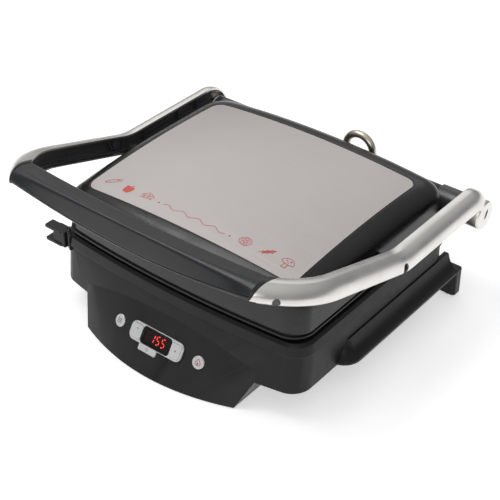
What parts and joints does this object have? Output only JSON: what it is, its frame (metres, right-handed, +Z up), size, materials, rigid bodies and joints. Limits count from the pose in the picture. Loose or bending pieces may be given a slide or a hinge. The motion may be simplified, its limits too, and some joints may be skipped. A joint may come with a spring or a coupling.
{
  "type": "contact grill",
  "caption": "Free-standing electric contact grill: ribbed plates, floating lid, bowed handle on two arms, front control panel and drip tray.",
  "frame": {"origin": "middle of the footprint on the surface that the grill stands on", "axes": "+X to the user's right, +Y from the control panel to the hinges, +Z up"},
  "size_m": [0.4, 0.3768, 0.203],
  "materials": {
    "black_moulding": "fine satin",
    "lid_black": "satin paint",
    "grip": "fine grained",
    "black_inner": "matt",
    "silver_metal": "satin polished",
    "silver_trim": "silver lacquer",
    "brushed_plate": "fine brushed",
    "dark_window": "tinted clear",
    "board": "laminate",
    "grill_plate": "non-stick coated casting",
    "heater": "heat-stained sheath",
    "reflector": "rolled sheet",
    "sensor": "plain",
    "plain_metal": "zinc plated",
    "dark_metal": "blackened",
    "rubber": "matt",
    "conduit": "nickel plated"
  },
  "bodies": {
    "base": {"base_housing": "black_moulding", "base_rim": "black_moulding", "bottom_cover": "black_moulding", "control_pod": "black_moulding", "panel_frame": "silver_trim", "display_lens": "dark_window", "display_module": "black_inner", "control_board": "board", "power_board": "board", "lower_plate": "grill_plate", "lower_heater": "heater", "lower_reflector": "reflector", "lower_sensor": "sensor", "drain_tube": "plain_metal", "hinge_pin_left": "plain_metal", "hinge_pin_right": "plain_metal", "cord_gland": "rubber", "front_feet": "rubber", "rear_feet": "rubber", "side_clip": "black_moulding", "base_screws": "plain_metal", "base_ferrule": "plain_metal", "conduit": "conduit"},
    "handle": {"left_arm": "silver_metal", "right_arm": "silver_metal", "left_liner": "black_inner", "right_liner": "black_inner", "grip_upper": "grip", "grip_lower": "grip", "handle_screws": "dark_metal", "pivot_bolts": "dark_metal"},
    "lid": {"lid_housing": "lid_black", "lid_top_plate": "brushed_plate", "lid_frame": "black_moulding", "upper_plate": "grill_plate", "upper_heater": "heater", "upper_reflector": "reflector", "upper_sensor": "sensor", "lid_screws": "plain_metal", "lid_ferrule": "plain_metal"},
    "tray": {"drip_tray": "black_moulding"},
    "minus": {"minus_key": "silver_trim"},
    "plus": {"plus_key": "silver_trim"},
    "power": {"power_key": "silver_trim"},
    "mode": {"mode_button": "silver_trim"},
    "heat": {"heat_button": "silver_trim"}
  },
  "joints": [
    {"name": "main_hinge", "type": "hinge", "parent": "base", "child": "handle", "pos_m": [0, 0.1714, 0.11], "axis": [-1, 0, 0], "range_deg": [0, 100], "deforming": ["conduit"]},
    {"name": "lid_float", "type": "hinge", "parent": "handle", "child": "lid", "pos_m": [0, 0.0144, 0.1255], "axis": [1, 0, 0], "range_deg": [0, 12]},
    {"name": "tray_slide", "type": "slide", "parent": "base", "child": "tray", "axis": [0, 1, 0], "range_m": [0, 0.15]},
    {"name": "minus_press", "type": "slide", "parent": "base", "child": "minus", "axis": [0, 0.8396, -0.5432], "range_m": [0, 0.001], "stiffness_N_per_m": 400, "springref_m": -0.0005},
    {"name": "plus_press", "type": "slide", "parent": "base", "child": "plus", "axis": [0, 0.8396, -0.5432], "range_m": [0, 0.001], "stiffness_N_per_m": 400, "springref_m": -0.0005},
    {"name": "power_press", "type": "slide", "parent": "base", "child": "power", "axis": [0, 0.8396, -0.5432], "range_m": [0, 0.001], "stiffness_N_per_m": 400, "springref_m": -0.0005},
    {"name": "mode_press", "type": "slide", "parent": "base", "child": "mode", "axis": [0.1463, 0.8306, -0.5373], "range_m": [0, 0.001], "stiffness_N_per_m": 400, "springref_m": -0.0005},
    {"name": "heat_press", "type": "slide", "parent": "base", "child": "heat", "axis": [-0.1463, 0.8306, -0.5373], "range_m": [0, 0.001], "stiffness_N_per_m": 400, "springref_m": -0.0005}
  ],
  "couplings": [
    {"joint": "lid_float", "follows": "main_hinge", "ratio": 0.12}
  ]
}
